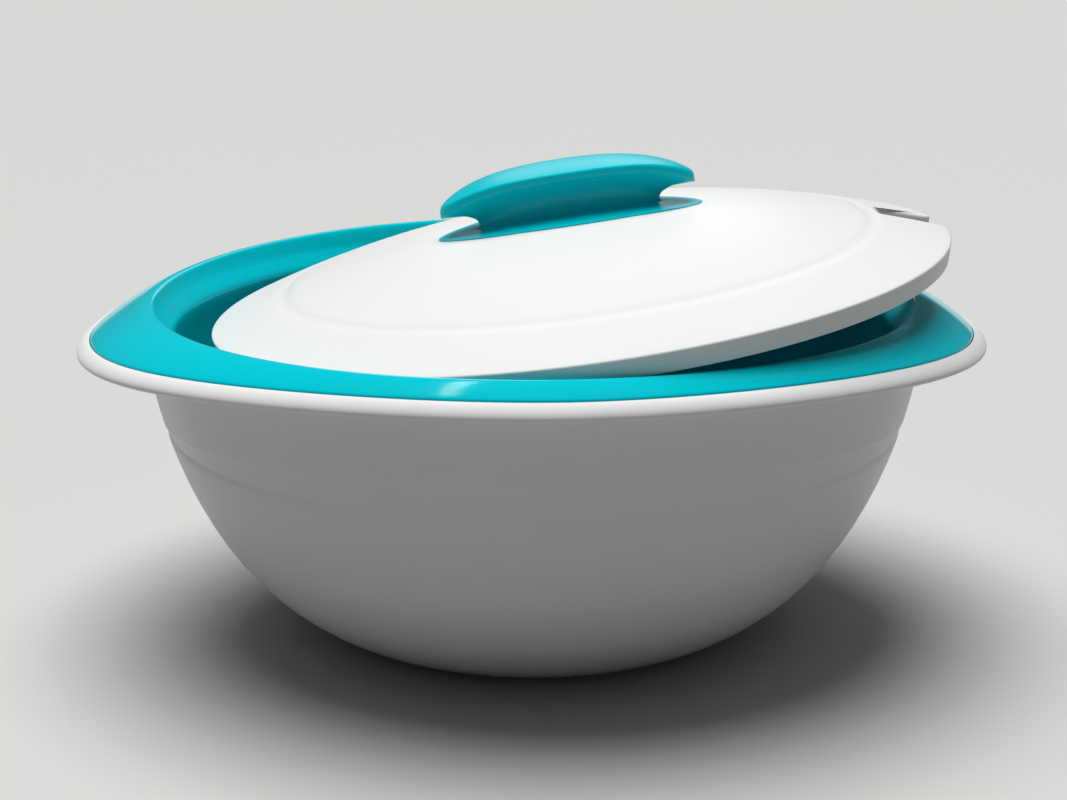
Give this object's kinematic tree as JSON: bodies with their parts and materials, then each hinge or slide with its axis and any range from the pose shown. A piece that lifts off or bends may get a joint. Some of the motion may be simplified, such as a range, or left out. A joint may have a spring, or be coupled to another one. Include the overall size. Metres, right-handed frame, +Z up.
{
  "type": "thermal serving bowl",
  "caption": "Double-walled thermal serving bowl with an oval drooping flange, white outside and turquoise inside, and a loose domed lid with a notched edge and an arched grip.",
  "frame": {"origin": "on the table plane, under the middle of the bowl", "axes": "+X along the longer way across the oval rim, towards the raised notched side of the lid; +Y away from the side that the picture shows; +Z up"},
  "size_m": [0.3, 0.277, 0.1577],
  "materials": {
    "white_gloss": "polished white polypropylene",
    "white_matte": "fine-grained white polypropylene",
    "turquoise_gloss": "polished turquoise polypropylene",
    "soft_grey": "matte soft grey elastomer",
    "foam": "rigid insulating foam, unseen",
    "screw_steel": "zinc-plated steel screws, unseen"
  },
  "bodies": {
    "bowl": {"outer_shell": "white_gloss", "base_cap": "white_matte", "foot_ring": "soft_grey", "bowl_insulation": "foam", "rim_gasket": "soft_grey", "inner_bowl": "turquoise_gloss"},
    "lid": {"lid_cover": "white_gloss", "lid_insulation": "foam", "lid_liner": "white_matte", "handle_neck": "turquoise_gloss", "handle_screws": "screw_steel", "handle_grip": "turquoise_gloss"}
  },
  "joints": [
    {"name": "lid_lift", "type": "hinge", "parent": "bowl", "child": "lid", "pos_m": [-0.01899, 0.00146, 0.232], "axis": [-0.0767, -0.9971, 0], "range_deg": [-7.7, 90]}
  ]
}
